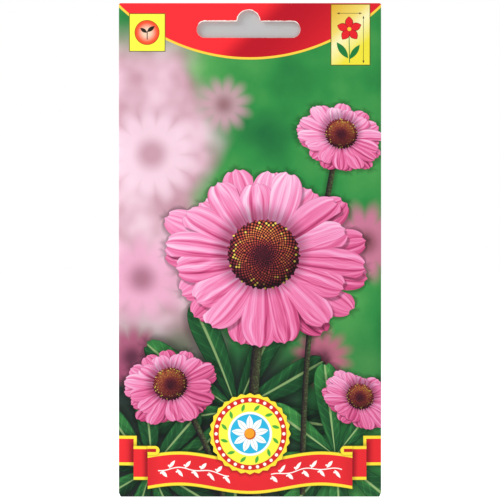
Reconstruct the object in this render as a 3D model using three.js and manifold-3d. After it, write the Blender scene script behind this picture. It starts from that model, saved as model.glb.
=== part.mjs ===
// Seed packet: one sheet of coated paper, folded and glued into a flat pouch round loose seeds.
// Millimetres, +Z up. The front faces -Y and X runs across it. The origin is at the crown of the
// punched hang slot, in the middle of the header's thickness, where a display hook carries it.
import * as THREE from 'three';
import { mergeVertices } from 'three/addons/utils/BufferGeometryUtils.js';
import Module from 'manifold-3d';

const wasm = await Module();
wasm.setup();

// Driving dimensions of the packet
const packetWidth = 80;
const packetHeight = 150.6;
const paper = 0.12; // thickness of the sheet
const glue = 0.05; // thickness of a dried glue film
const clearance = 0.02; // between a glue film and the paper on each side of it
const sideFlap = 10.8; // width of the flap under the back panel's free edge
const bottomFlap = 13; // height of the flap folded up over the back
const flapTaper = 3.6; // how far each side of that flap leans in towards its top
const headerSeal = 15; // depth of the band glued shut, from the top edge down
const swell = 1.9; // how far each face stands out where the seeds fill the pocket
const swellRise = 1.5; // power with which it grows downwards from the seal
const swellClose = 14; // power with which it closes again towards the bottom fold
const backInset = 1; // from the back panel's cut edges to the folds beside them
const cornerLean = 0.4; // how far the front's sides lean in at the bottom corners
const foldLean = 0.2; // and again at the lowest line of the bottom fold
const glueInset = 0.8; // from a glue film's edge to the edge of the paper over it

// Driving dimensions of the hang slot, a standard Euro slot
const crownBelowTop = 2.1; // from the packet's top edge down to the hump's crown
const slotLength = 31.6;
const slotHeight = 5;
const humpRadius = 3.45;
const humpFillet = 0.4;
const slotOffset = 0.44; // the slot is punched this far left of the packet's middle

// Driving dimensions of the seeds
const seedCount = 36;
const seedLength = 4.5;
const seedRadius = 0.85; // at the widest, near the crown
const seedFlat = 0.78; // half width across the flats, as a share of that radius
const seedGap = 0.1; // between a seed and whatever it lies against
const toothHeight = 0.3; // of the crown's teeth, past the seed's length
const crownHollow = 0.25; // depth of the dip inside the teeth

// Places that follow from them
const middle = slotOffset; // X of the packet's middle
const top = crownBelowTop;
const bottom = top - packetHeight;
const pocketTop = top - headerSeal;
const layer = paper + glue + 2 * clearance; // from one glued layer of paper to the next
const foldRadius = layer / 2; // of the middle of the sheet, round a side fold
const foldX = packetWidth / 2 - foldRadius - paper / 2; // centre line of each side fold
const bottomFoldDepth = 0.3; // how far the middle of the sheet dips round the bottom fold
const pocketBottom = bottom + paper / 2 + bottomFoldDepth;
const backBottom = bottom + backInset;
const backReach = packetWidth / 2 - backInset; // the back panel's free edge, over the side flap
const flapFree = packetWidth / 2 - sideFlap; // the side flap's free edge
const rampEnd = flapFree - 0.2; // the back panel has stepped up over the flap here
const rampStart = rampEnd - 1.5;
const flapTop = bottom + bottomFlap;
const cornerReach = packetWidth / 2 - cornerLean; // half the front's width at the bottom corners

const evenly = (from, to, count) =>
  Array.from({ length: count + 1 }, (_, i) => from + ((to - from) * i) / count);

// How far each face stands out from flat: nothing at the seal and the folds, most low down
const lengthwise = (down) => down ** swellRise * (1 - down ** swellClose);
const fullest = (swellRise / (swellRise + swellClose)) ** (1 / swellClose);
function swellAt(x, z) {
  const down = (pocketTop - z) / (pocketTop - pocketBottom);
  if (down <= 0 || down >= 1) return 0;
  const crosswise = Math.max(0, 1 - (x / foldX) ** 2);
  return (swell * crosswise * lengthwise(down)) / lengthwise(fullest);
}

// Middle surface of each layer of the sheet, as Y at a place; x is taken from the packet's middle
const frontY = (x, z) => -foldRadius - swellAt(x, z);
const sideFlapY = (x, z) => foldRadius + swellAt(x, z);
const overFlap = (x) => THREE.MathUtils.clamp((x - rampStart) / (rampEnd - rampStart), 0, 1);
const backY = (x, z) => sideFlapY(x, z) + layer * overFlap(x);
const bottomFlapY = (x, z) => backY(x, z) + layer;

// A closed solid from cells of four corners on its middle surface, each corner a place and a
// unit normal. Both faces are split along the same diagonal, so a thin sheet never meets itself.
function thickSheet(cells, thickness) {
  const ids = new Map();
  const positions = [];
  const index = [];
  const idOf = (corner) => {
    const key = corner.place.toArray().map((v) => v.toFixed(4)).join();
    if (!ids.has(key)) {
      ids.set(key, ids.size);
      for (const side of [1, -1]) {
        const point = corner.place.clone().addScaledVector(corner.normal, (side * thickness) / 2);
        positions.push(point.x, point.y, point.z);
      }
    }
    return ids.get(key);
  };
  const edges = new Map();
  for (const cell of cells) {
    // the diagonal starts at the corner with the lowest x + z, alike on every layer
    const sums = cell.map((corner) => corner.place.x + corner.place.z);
    const first = sums.indexOf(Math.min(...sums));
    const [a, b, c, d] = [0, 1, 2, 3].map((i) => idOf(cell[(first + i) % 4]));
    for (const [i, j, k] of [[a, b, c], [a, c, d]]) {
      index.push(2 * i, 2 * j, 2 * k, 2 * i + 1, 2 * k + 1, 2 * j + 1);
    }
    for (const [i, j] of [[a, b], [b, c], [c, d], [d, a]]) {
      if (!edges.delete(`${j},${i}`)) edges.set(`${i},${j}`, [i, j]);
    }
  }
  for (const [i, j] of edges.values()) {
    index.push(2 * i, 2 * i + 1, 2 * j, 2 * j, 2 * i + 1, 2 * j + 1);
  }
  const geometry = new THREE.BufferGeometry();
  geometry.setAttribute('position', new THREE.Float32BufferAttribute(positions, 3));
  geometry.setIndex(index);
  return geometry;
}

// Cells between neighbouring columns and rows of corners; cornerAt gives the corner of each
function gridCells(columns, rows, cornerAt) {
  const cells = [];
  for (let i = 1; i < columns.length; i += 1) {
    for (let j = 1; j < rows.length; j += 1) {
      cells.push([
        cornerAt(columns[i - 1], rows[j]),
        cornerAt(columns[i], rows[j]),
        cornerAt(columns[i], rows[j - 1]),
        cornerAt(columns[i - 1], rows[j - 1]),
      ]);
    }
  }
  return cells;
}

const corner = (x, y, z, nx, ny, nz) => ({
  place: new THREE.Vector3(middle + x, y, z),
  normal: new THREE.Vector3(nx, ny, nz).normalize(),
});

// Columns and rows that the stacked layers share
const foldSteps = evenly(0, Math.PI, 4);
const outerColumn = 34;
const midColumns = [...evenly(-outerColumn, 24, 12), rampStart, rampEnd, outerColumn];
const frontColumns = [-foldX, ...midColumns, foldX];
const headerRows = evenly(top, pocketTop, 2);
const pocketRows = evenly(pocketTop, flapTop, 18).slice(1);
const flapRows = evenly(flapTop, backBottom, 8).slice(1);
const panelRows = [...headerRows, ...pocketRows, ...flapRows];

// The folded sheet: front panel, side folds, back panel, side flap, bottom fold and bottom flap
function foldedSheet() {
  const cells = [];
  const front = (x, z) => corner(x, frontY(x, z), z, 0, -1, 0);
  cells.push(...gridCells(frontColumns, panelRows, front));

  // half turns at the sides, from the front round to the layer behind it
  for (const side of [-1, 1]) {
    const turns = side < 0 ? [...foldSteps].reverse() : foldSteps;
    const fold = (turn, z) => {
      const out = side * Math.sin(turn);
      const back = -Math.cos(turn);
      return corner(side * foldX + foldRadius * out, foldRadius * back, z, out, back, 0);
    };
    cells.push(...gridCells(turns, panelRows, fold));
  }

  // the back panel runs from the left fold to its free edge over the side flap
  const backColumns = [backReach, ...[...midColumns].reverse(), -foldX];
  const back = (x, z) => corner(x, backY(x, z), z, 0, 1, 0);
  cells.push(...gridCells(backColumns, panelRows, back));

  // the side flap runs in from the right fold
  const flap = (x, z) => corner(x, sideFlapY(x, z), z, 0, 1, 0);
  cells.push(...gridCells([foldX, outerColumn, flapFree], panelRows, flap));

  // below the back panel's cut edge the front's sides lean in, down to and up the bottom flap
  const edgeAt = (x, reach) => (Math.abs(x) === foldX ? Math.sign(x) * reach : x);
  const lowFront = (x, z) => (z === backBottom ? front(x, z) : front(edgeAt(x, cornerReach), z));
  cells.push(...gridCells(frontColumns, [backBottom, pocketBottom], lowFront));
  const bottomFold = (x, turn) => {
    const at = edgeAt(x, cornerReach - foldLean * Math.sin(turn));
    const radius = (bottomFlapY(at, pocketBottom) - frontY(at, pocketBottom)) / 2;
    const y = frontY(at, pocketBottom) + radius * (1 - Math.cos(turn));
    const z = pocketBottom - bottomFoldDepth * Math.sin(turn);
    return corner(at, y, z, 0, -bottomFoldDepth * Math.cos(turn), -radius * Math.sin(turn));
  };
  cells.push(...gridCells(frontColumns, foldSteps, bottomFold));
  const flapEdge = (z) => cornerReach - (flapTaper * (z - pocketBottom)) / bottomFlap;
  const bottomFlapCorner = (x, z) => {
    const at = edgeAt(x, flapEdge(z));
    return corner(at, bottomFlapY(at, z), z, 0, 1, 0);
  };
  const upRows = [pocketBottom, ...[...flapRows].reverse(), flapTop];
  cells.push(...gridCells(frontColumns, upRows, bottomFlapCorner));
  return thickSheet(cells, paper);
}

// A glue film that follows a layer of the sheet
function glueFilm(columns, rows, yAt) {
  const film = (x, z) => corner(x, yAt(x, z), z, 0, 1, 0);
  return thickSheet(gridCells([...columns].reverse(), rows, film), glue);
}

// Outline of the hang slot in X and Z, as the punch cuts it: round ends and a hump for one hook
function slotOutline() {
  const edge = -humpRadius; // the slot's straight upper edge
  const endRadius = slotHeight / 2;
  const endX = slotLength / 2 - endRadius;
  const filletX = Math.sqrt((humpRadius + humpFillet) ** 2 - humpFillet ** 2);
  const lean = Math.asin(humpFillet / (humpRadius + humpFillet));
  const outline = new THREE.Shape();
  outline.absarc(endX, edge - endRadius, endRadius, -Math.PI / 2, Math.PI / 2);
  outline.absarc(filletX, edge + humpFillet, humpFillet, -Math.PI / 2, lean - Math.PI, true);
  outline.absarc(0, edge, humpRadius, lean, Math.PI - lean);
  outline.absarc(-filletX, edge + humpFillet, humpFillet, -lean, -Math.PI / 2, true);
  outline.absarc(-endX, edge - endRadius, endRadius, Math.PI / 2, (3 * Math.PI) / 2);
  // where two arcs meet, only one of their two like points stays
  const points = outline.getPoints(6);
  return new THREE.Shape(points.filter((p, i) => p.distanceTo(points.at(i - 1)) > 1e-6));
}

function solidOf(geometry) {
  geometry.deleteAttribute('normal');
  geometry.deleteAttribute('uv');
  const merged = mergeVertices(geometry, 1e-5);
  return new wasm.Manifold(new wasm.Mesh({
    numProp: 3,
    vertProperties: new Float32Array(merged.attributes.position.array),
    triVerts: new Uint32Array(merged.index.array),
  }));
}

function geometryOf(solid) {
  const mesh = solid.getMesh();
  const geometry = new THREE.BufferGeometry();
  geometry.setAttribute('position', new THREE.BufferAttribute(mesh.vertProperties, 3));
  geometry.setIndex(new THREE.BufferAttribute(mesh.triVerts, 1));
  return geometry;
}

const punchDepth = 4;
const punchGeometry = new THREE.ExtrudeGeometry(slotOutline(), {
  depth: punchDepth, bevelEnabled: false,
});
punchGeometry.rotateX(Math.PI / 2).translate(0, punchDepth / 2, 0);
const punch = solidOf(punchGeometry);
const punched = (geometry) => geometryOf(solidOf(geometry).subtract(punch));

// A seed: a four-sided achene, narrow at its foot, with a low toothed crown; it lies along X
function seedGeometry(length) {
  const outline = [
    // along the seed, radius as a share of the widest
    [0, 0.3], [0.12, 0.52], [0.5, 0.8], [0.84, 1], [1, 0.94],
  ];
  const sides = 8;
  const positions = [-length / 2, 0, 0];
  for (const [along, wide] of outline) {
    for (let i = 0; i < sides; i += 1) {
      const turn = (2 * Math.PI * i) / sides;
      const onRidge = i % 2 === 0;
      const radius = seedRadius * wide * (onRidge ? 1 : seedFlat);
      const tooth = along === 1 && onRidge ? toothHeight : 0;
      positions.push((along - 0.5) * length + tooth, radius * Math.cos(turn), radius * Math.sin(turn));
    }
  }
  positions.push(length / 2 - crownHollow, 0, 0);
  const last = positions.length / 3 - 1;
  const index = [];
  for (let i = 0; i < sides; i += 1) {
    const next = (i + 1) % sides;
    index.push(0, 1 + next, 1 + i);
    for (let ring = 0; ring < outline.length - 1; ring += 1) {
      const [a, b] = [1 + ring * sides + i, 1 + ring * sides + next];
      index.push(a, b, b + sides, a, b + sides, a + sides);
    }
    index.push(last, last - sides + i, last - sides + next);
  }
  const geometry = new THREE.BufferGeometry();
  geometry.setAttribute('position', new THREE.Float32BufferAttribute(positions, 3));
  geometry.setIndex(index);
  return geometry;
}

// Random draws that repeat from run to run
function seededRandom(seed) {
  let state = seed;
  return () => {
    state = (state * 1664525 + 1013904223) % 4294967296;
    return state / 4294967296;
  };
}

// Shortest distance between two straight seeds' middle lines, each a start and an end
function lineDistance(a, b) {
  let least = Infinity;
  for (const s of evenly(0, 1, 8)) {
    const point = a.start.clone().lerp(a.end, s);
    const line = new THREE.Line3(b.start, b.end);
    least = Math.min(least, line.closestPointToPoint(point, true, new THREE.Vector3()).distanceTo(point));
  }
  return least;
}

// Half the room between the faces at a place in the pocket
const pocketHalf = (x, z) => foldRadius - paper / 2 + swellAt(x, z);

// Each seed slides down one face of the pocket, from a random place, until paper or seeds stop it
function pileSeeds() {
  const random = seededRandom(5);
  const seeds = [];
  const startHeight = 45; // above the packet's bottom
  const startSpread = 36;
  const step = 0.15;
  while (seeds.length < seedCount) {
    const length = seedLength * (0.9 + 0.2 * random());
    const lean = 1.1 * (random() - 0.5) + (random() < 0.5 ? 0 : Math.PI);
    const roll = random() * Math.PI;
    const face = random() < 0.5 ? -1 : 1;
    const drift = random() < 0.5 ? -1 : 1; // the side it tries first
    const reach = length / 2 + toothHeight - seedRadius;
    const along = new THREE.Vector3(Math.cos(lean), 0, -Math.sin(lean)).multiplyScalar(reach);
    const at = (x, z) => {
      const spots = [-1, 0, 1].map((k) => new THREE.Vector3(x, 0, z).addScaledVector(along, k));
      const room = Math.min(...spots.map((p) => pocketHalf(p.x, p.z - seedRadius)));
      const off = room - seedRadius - seedGap; // how far from the middle its face lets it lie
      const [start, centre, end] = spots.map((p) => p.setY(face * off));
      return { off, start, centre, end };
    };
    const fits = (place) => place.off > 0
      && seeds.every((other) => lineDistance(place, other) > 2 * seedRadius + seedGap);
    let place = at(startSpread * (random() - 0.5), bottom + startHeight);
    if (!fits(place)) continue;
    const slides = [0, 1, -1, 2, -2, 4, -4, 7, -7, 11, -11]; // sideways steps for one step down
    for (let next = place; next; ) {
      place = next;
      const { x, z } = place.centre;
      next = slides.map((k) => at(x + k * drift * step, z - step)).find(fits);
    }
    seeds.push({ ...place, length, lean, roll });
  }
  return seeds;
}

// Materials
const paperMaterial = new THREE.MeshStandardMaterial({ color: 0xd23a3a, roughness: 0.45, metalness: 0 });
const glueMaterial = new THREE.MeshStandardMaterial({ color: 0xe9e2cf, roughness: 0.5, metalness: 0 });
const seedMaterial = new THREE.MeshStandardMaterial({ color: 0xa98a5c, roughness: 0.8, metalness: 0 });

const packet = new THREE.Group();
const addPiece = (name, geometry, material) => {
  const mesh = new THREE.Mesh(geometry, material);
  mesh.name = name;
  packet.add(mesh);
  return mesh;
};

addPiece('packet_paper', punched(foldedSheet()), paperMaterial.clone());

// Glue between the layers, held back from the edges
const onFlap = [flapFree + glueInset, outerColumn, backReach - glueInset];
const seamRows = panelRows.slice(0, -1);
const seamY = (x, z) => sideFlapY(x, z) + layer / 2;
addPiece('side_seam_glue', glueFilm(onFlap, seamRows, seamY), glueMaterial.clone());

const flapColumns = frontColumns.slice(1, -1);
const flapGlueRows = [flapTop, ...flapRows.slice(0, -1)];
const flapGlueY = (x, z) => backY(x, z) + layer / 2;
addPiece('bottom_flap_glue', glueFilm(flapColumns, flapGlueRows, flapGlueY), glueMaterial.clone());

const sealRows = [top - glueInset, pocketTop];
const sealColumns = [glueInset - foldX, rampStart];
addPiece('header_glue', punched(glueFilm(sealColumns, sealRows, () => 0)), glueMaterial.clone());
addPiece('header_flap_glue', glueFilm(onFlap, sealRows, () => 0), glueMaterial.clone());

pileSeeds().forEach((seed, i) => {
  const name = `seed_${String(i + 1).padStart(2, '0')}`;
  const mesh = addPiece(name, seedGeometry(seed.length), seedMaterial.clone());
  mesh.position.copy(seed.centre).setX(middle + seed.centre.x);
  mesh.rotation.set(seed.roll, seed.lean, 0, 'YXZ');
});

export default packet;
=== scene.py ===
"""A sealed paper seed packet that hangs by its punched slot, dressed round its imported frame."""
import functools
import inspect
import math

import bpy
import numpy as np
from mathutils import Matrix, Vector, noise


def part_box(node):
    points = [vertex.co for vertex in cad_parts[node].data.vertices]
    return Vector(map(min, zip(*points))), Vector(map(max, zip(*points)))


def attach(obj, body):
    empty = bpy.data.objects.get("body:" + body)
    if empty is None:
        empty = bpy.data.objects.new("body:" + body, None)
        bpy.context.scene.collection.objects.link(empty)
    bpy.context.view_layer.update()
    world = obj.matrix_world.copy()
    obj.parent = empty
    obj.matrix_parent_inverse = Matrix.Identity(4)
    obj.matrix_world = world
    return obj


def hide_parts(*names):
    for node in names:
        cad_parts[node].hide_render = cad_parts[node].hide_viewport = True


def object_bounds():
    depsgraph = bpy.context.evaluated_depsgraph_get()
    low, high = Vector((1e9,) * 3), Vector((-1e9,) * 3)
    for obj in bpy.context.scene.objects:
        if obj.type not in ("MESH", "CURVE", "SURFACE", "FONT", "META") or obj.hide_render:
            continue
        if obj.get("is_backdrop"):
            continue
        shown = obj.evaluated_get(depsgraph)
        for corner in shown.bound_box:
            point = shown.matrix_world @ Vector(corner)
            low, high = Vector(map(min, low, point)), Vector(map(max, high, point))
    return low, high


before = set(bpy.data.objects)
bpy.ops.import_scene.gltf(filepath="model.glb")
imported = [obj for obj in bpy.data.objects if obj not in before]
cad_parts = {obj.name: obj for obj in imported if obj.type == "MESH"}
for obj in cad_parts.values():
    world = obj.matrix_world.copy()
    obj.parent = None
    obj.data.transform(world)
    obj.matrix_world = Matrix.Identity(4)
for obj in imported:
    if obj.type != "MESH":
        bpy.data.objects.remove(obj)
cad_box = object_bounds()
MM = 0.001

# The packet's place: the sheet's own box gives its width, height and middle. Lengths below are
# in millimetres; drop counts down from the top edge, and x runs from the packet's middle.
low, high = (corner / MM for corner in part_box("packet_paper"))
width, height = high.x - low.x, high.z - low.z
middle = (low.x + high.x) / 2
top, bottom = high.z, low.z

# Camera: level and square on to the front, from far enough off to look flat, with the whole
# packet in the photograph's frame of 500 by 500 pixels, in which it is 493.6 pixels high.
PACKET_PIXELS, FRAME_PIXELS = 493.6, 500
LENS, SENSOR = 135, 36
view_height = height * FRAME_PIXELS / PACKET_PIXELS


def add_object(name, data):
    """Puts a new object with its mesh, lamp or camera into the scene, at the origin."""
    made = bpy.data.objects.new(name, data)
    bpy.context.scene.collection.objects.link(made)
    return made


camera_data = bpy.data.cameras.new("camera")
camera_data.lens, camera_data.sensor_width = LENS, SENSOR
camera = add_object("camera", camera_data)
camera.location = Vector((middle, -view_height * LENS / SENSOR, (top + bottom) / 2)) * MM
camera.rotation_euler = (math.pi / 2, 0, 0)
bpy.context.scene.camera = camera
bpy.context.scene.view_settings.view_transform = "Standard"

# Studio: a pale floor a little way below the hanging packet and a plain white surround, lit by
# one large soft lamp high on the left and a weaker one behind on the right. The floor looks a
# little brighter than it is lit, so that it meets the white surround without a line.
FLOOR_GAP = 25
FLOOR_SIZE = 14000
bpy.ops.mesh.primitive_plane_add(size=FLOOR_SIZE * MM, location=(0, 0, (bottom - FLOOR_GAP) * MM))
floor = bpy.context.object
floor.name = "floor"
floor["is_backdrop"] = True


def surface(name, roughness, specular):
    """A new material, its node tree and its shader."""
    material = bpy.data.materials.new(name)
    material.use_nodes = True
    shader = material.node_tree.nodes["Principled BSDF"]
    shader.inputs["Roughness"].default_value = roughness
    shader.inputs["Specular IOR Level"].default_value = specular
    return material, material.node_tree, shader


def matt(name, albedo):
    """A plain grey matt material, its node tree and its shader."""
    material, tree, shader = surface(name, 0.9, 0.1)
    shader.inputs["Base Color"].default_value = (albedo, albedo, albedo, 1)
    return material, tree, shader


def either_shader(tree, chooser, first, second, output):
    """Shows the first node's shader where chooser is 0, and the second's where it is 1."""
    mix = tree.nodes.new("ShaderNodeMixShader")
    for socket, source in zip(mix.inputs, (chooser, first.outputs[0], second.outputs[0])):
        tree.links.new(source, socket)
    tree.links.new(mix.outputs[0], tree.nodes[output].inputs["Surface"])


FLOOR_GLOW = 0.42
floor_material, floor_tree, floor_shader = matt("floor", 0.93)
floor_ray = floor_tree.nodes.new("ShaderNodeLightPath")
floor_glow = floor_tree.nodes.new("ShaderNodeMath")
floor_glow.operation = "MULTIPLY"
floor_glow.inputs[1].default_value = FLOOR_GLOW
floor_tree.links.new(floor_ray.outputs["Is Camera Ray"], floor_glow.inputs[0])
floor_tree.links.new(floor_glow.outputs[0], floor_shader.inputs["Emission Strength"])
floor_shader.inputs["Emission Color"].default_value = (1, 1, 1, 1)
floor.data.materials.append(floor_material)

# A small grey card stands close behind the header and shows through the slot. Its grey is painted
# shade, standing for the shadowed backdrop behind the slot. It is seen from the front only, and
# neither lights nor shades the packet.
CARD_REACH, CARD_START, CARD_END, CARD_DEPTH = 19, 1.2, 12.6, 0.9


def mesh_of(name, corners, faces, unit=MM):
    """A mesh of corners given in millimetres, or in another unit."""
    mesh = bpy.data.meshes.new(name)
    mesh.from_pydata([Vector(corner) * unit for corner in corners], [], faces)
    return mesh


card_corners = [
    (-CARD_REACH, CARD_DEPTH, top - CARD_END), (CARD_REACH, CARD_DEPTH, top - CARD_END),
    (CARD_REACH, CARD_DEPTH, top - CARD_START), (-CARD_REACH, CARD_DEPTH, top - CARD_START),
]
card_mesh = mesh_of("slot_card", card_corners, [range(4)])
card = add_object("slot_card", card_mesh)
card.visible_diffuse = card.visible_glossy = card.visible_shadow = False
card.visible_transmission = False
card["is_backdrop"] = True
# The card's mid grey is painted shade: the backdrop as it looks in the packet's shadow.
card_material, card_tree, card_shader = matt("slot_card", 0.49)
card_sides = card_tree.nodes.new("ShaderNodeNewGeometry")
card_clear = card_tree.nodes.new("ShaderNodeBsdfTransparent")
either_shader(card_tree, card_sides.outputs["Backfacing"], card_shader, card_clear, "Material Output")
card_mesh.materials.append(card_material)

SURROUND_LIGHT = 0.7
world = bpy.data.worlds.new("surround")
bpy.context.scene.world = world
world.use_nodes = True
sky = world.node_tree
seen = sky.nodes.new("ShaderNodeBackground")
seen.inputs["Color"].default_value = (1, 1, 1, 1)
lit = sky.nodes["Background"]
lit.inputs["Color"].default_value = (1, 1, 1, 1)
lit.inputs["Strength"].default_value = SURROUND_LIGHT
ray = sky.nodes.new("ShaderNodeLightPath")
either_shader(sky, ray.outputs["Is Camera Ray"], lit, seen, "World Output")


def soft_lamp(name, place, size, power):
    """A square soft lamp that shines at the packet; place is in millimetres from its middle."""
    data = bpy.data.lights.new(name, "AREA")
    data.shape, data.size, data.energy = "SQUARE", size * MM, power
    lamp = add_object(name, data)
    aim = Vector((middle, 0, (top + bottom) / 2)) * MM
    lamp.location = aim + Vector(place) * MM
    lamp.rotation_euler = (aim - lamp.location).to_track_quat("-Z", "Y").to_euler()


soft_lamp("key_lamp", (-620, -330, 520), 380, 5.0)
soft_lamp("back_lamp", (520, 420, 380), 500, 2.4)

# Seeds: thirty-six small dry fruits, straw-coloured with a brown band under a toothed crown.
# They lie loose in a heap at the bottom of the pouch, each one where the frame has it.
SEED_LENGTH, SEED_RADIUS, SEED_FLAT = 4.5, 0.85, 0.78
TOOTH, CROWN_HOLLOW, CROWN_INNER = 0.3, 0.25, 0.72
SEED_SIDES = 16
SEED_OUTLINE = [  # share of the length, and radius as a share of the widest
    (0, 0.3), (0.03, 0.37), (0.07, 0.44), (0.12, 0.52), (0.25, 0.61), (0.38, 0.71), (0.5, 0.8),
    (0.62, 0.87), (0.74, 0.95), (0.84, 1), (0.9, 0.985), (0.95, 0.96), (1, 0.94),
]


def swatch(code):
    """The linear colour of a printer's six-figure code."""
    parts = [int(code[i : i + 2], 16) / 255 for i in (0, 2, 4)]
    linear = [p / 12.92 if p <= 0.04045 else ((p + 0.055) / 1.055) ** 2.4 for p in parts]
    return (*linear, 1)


class Signal:
    """A number, colour or vector that changes over a surface: a node's output. Sums of Signals
    and numbers make math nodes, and so do its methods; under and over are least and most."""

    def __init__(self, tree, source):
        self.tree, self.source = tree, source

    def math(self, operation, *others):
        values = dict(enumerate((self, *others)))
        return step(self, "ShaderNodeMath", values, operation=operation)

    def __rsub__(self, other):
        return self * -1 + other

    def __rtruediv__(self, other):
        return self.math("POWER", -1) * other

    def __neg__(self):
        return self * -1

    def rise(self, start, end):
        """0 before start and 1 past end, smooth between; falls where end is the lower."""
        values = {0: self, 1: start, 2: end}
        return step(self, "ShaderNodeMapRange", values, interpolation_type="SMOOTHSTEP", clamp=False)


for name, operation in {
    "__add__": "ADD", "__radd__": "ADD", "__sub__": "SUBTRACT", "__mul__": "MULTIPLY",
    "__rmul__": "MULTIPLY", "__truediv__": "DIVIDE", "__pow__": "POWER", "__abs__": "ABSOLUTE",
    "sin": "SINE", "cos": "COSINE", "atan2": "ARCTAN2", "under": "MINIMUM", "over": "MAXIMUM",
    "round": "ROUND", "floor": "FLOOR", "modulo": "FLOORED_MODULO",
}.items():
    setattr(Signal, name, functools.partialmethod(Signal.math, operation))


def feed(tree, sockets, values):
    """Links or sets one socket for each value."""
    for socket, value in zip(sockets, values):
        if isinstance(value, Signal):
            tree.links.new(value.source, socket)
        else:
            socket.default_value = value


def step(signal, kind, inputs, output=0, **settings):
    """Adds a node to a signal's tree and returns one of its outputs."""
    node = signal.tree.nodes.new(kind)
    for label, value in settings.items():
        setattr(node, label, value)
    feed(signal.tree, [node.inputs[label] for label in inputs], inputs.values())
    return Signal(signal.tree, node.outputs[output])


def vector(tree, *parts):
    """A vector from three numbers."""
    node = tree.nodes.new("ShaderNodeCombineXYZ")
    feed(tree, node.inputs, parts)
    return Signal(tree, node.outputs[0])


def parts_of(signal, kind="ShaderNodeSeparateXYZ"):
    """The three numbers of a vector, or with the other kind of node, of a colour."""
    node = signal.tree.nodes.new(kind)
    signal.tree.links.new(signal.source, node.inputs[0])
    return [Signal(signal.tree, output) for output in node.outputs]


def own_place(tree, shift, scale):
    """A place on the piece, in metres times scale and moved by shift, as a vector."""
    place = tree.nodes.new("ShaderNodeTexCoord")
    mapping = tree.nodes.new("ShaderNodeMapping")
    feed(tree, (mapping.inputs["Location"], mapping.inputs["Scale"]), (shift, (scale,) * 3))
    tree.links.new(place.outputs["Object"], mapping.inputs["Vector"])
    return Signal(tree, mapping.outputs[0])


def blotches(tree, size, detail=2, seed=0.0):
    """Soft noise over a piece, from 0 to 1; size is its coarsest grain in millimetres."""
    place = own_place(tree, (seed,) * 3, 1 / (MM * size))
    return step(place, "ShaderNodeTexNoise", {"Vector": place, "Scale": 1, "Detail": detail})


def lay(under, over, cover):
    """The colour over, laid on the colour under where cover is 1; each a Signal or a code."""
    under, over = (swatch(value) if isinstance(value, str) else value for value in (under, over))
    return step(cover, "ShaderNodeMix", {0: cover, 6: under, 7: over}, output=2, data_type="RGBA")


def dim(colour, share):
    """A colour made darker or lighter by a share that changes over the surface."""
    result = lay(colour, "000000", 1 - share)
    result.source.node.clamp_factor = False
    return result


def tones(share, *stops):
    """A colour from a row of (place, colour) stops."""
    node = share.tree.nodes.new("ShaderNodeValToRGB")
    ramp = node.color_ramp
    while len(ramp.elements) < len(stops):
        ramp.elements.new(0.5)
    for element, (place, code) in zip(ramp.elements, stops):
        element.position, element.color = place, swatch(code)
    share.tree.links.new(share.source, node.inputs[0])
    return Signal(share.tree, node.outputs[0])


def drive(shader, label, signal):
    """Lets a Signal drive one of a shader's inputs."""
    signal.tree.links.new(signal.source, shader.inputs[label])


def emboss(shader, relief):
    """Lets a height in millimetres bend the light on a surface."""
    drive(shader, "Normal", step(relief, "ShaderNodeBump", {"Distance": MM, "Height": relief}))


seed_coat, seed_tree, seed_shader = surface("seed_coat", 0.62, 0.35)
seed_reach = seed_tree.nodes.new("ShaderNodeAttribute")
seed_reach.attribute_name = "seed_along"
seed_along = Signal(seed_tree, seed_reach.outputs["Fac"])
seed_fleck = blotches(seed_tree, 0.35, detail=4)
seed_ink = tones(seed_fleck, (0.25, "8c6b3f"), (0.5, "b99a68"), (0.8, "dcc596"))
seed_band = seed_along.rise(0.7, 0.78) * seed_along.rise(0.93, 0.88)
seed_ink = lay(seed_ink, "5b3a22", seed_band * seed_fleck.rise(0.2, 0.45))
drive(seed_shader, "Base Color", seed_ink)
emboss(seed_shader, seed_fleck * 0.03)


def seed_ring(share, wide):
    """One ring of a seed's body: ridges at every fourth corner, flats between, teeth on top."""
    ring = []
    for i in range(SEED_SIDES):
        turn = math.tau * i / SEED_SIDES
        ridge = abs(math.cos(2 * turn)) ** 1.5
        radius = SEED_RADIUS * wide * (SEED_FLAT + (1 - SEED_FLAT) * ridge)
        tooth = TOOTH * ridge if share == 1 else 0
        along = (share - 0.5) * SEED_LENGTH + tooth
        ring.append((along, radius * math.cos(turn), radius * math.sin(turn)))
    return ring


def note(mesh, name, values, kind="FLOAT", where="POINT"):
    """Keeps a value for each of a mesh's points or faces, under a name."""
    field = "vector" if kind == "FLOAT_VECTOR" else "value"
    mesh.attributes.new(name, kind, where).data.foreach_set(field, values)


def seed_model():
    """One seed in millimetres, lying along X, foot first, with its hollow crown."""
    rings = [seed_ring(share, wide) for share, wide in SEED_OUTLINE]
    hollow = SEED_LENGTH / 2 - CROWN_HOLLOW
    rings.append([(hollow, y * CROWN_INNER, z * CROWN_INNER) for _, y, z in rings[-1]])
    vertices = [corner for ring in rings for corner in ring]
    feet = len(vertices)
    vertices += [(-SEED_LENGTH / 2, 0, 0), (hollow, 0, 0)]
    faces = []
    for i in range(SEED_SIDES):
        j = (i + 1) % SEED_SIDES
        faces.append((feet, j, i))
        for ring in range(0, feet - SEED_SIDES, SEED_SIDES):
            faces.append((ring + i, ring + j, ring + j + SEED_SIDES, ring + i + SEED_SIDES))
        faces.append((feet + 1, feet - SEED_SIDES + i, feet - SEED_SIDES + j))
    mesh = mesh_of("seed", vertices, faces, unit=1)
    note(mesh, "seed_along", [x / SEED_LENGTH + 0.5 for x, _, _ in vertices])
    mesh.shade_smooth()
    return mesh


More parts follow.
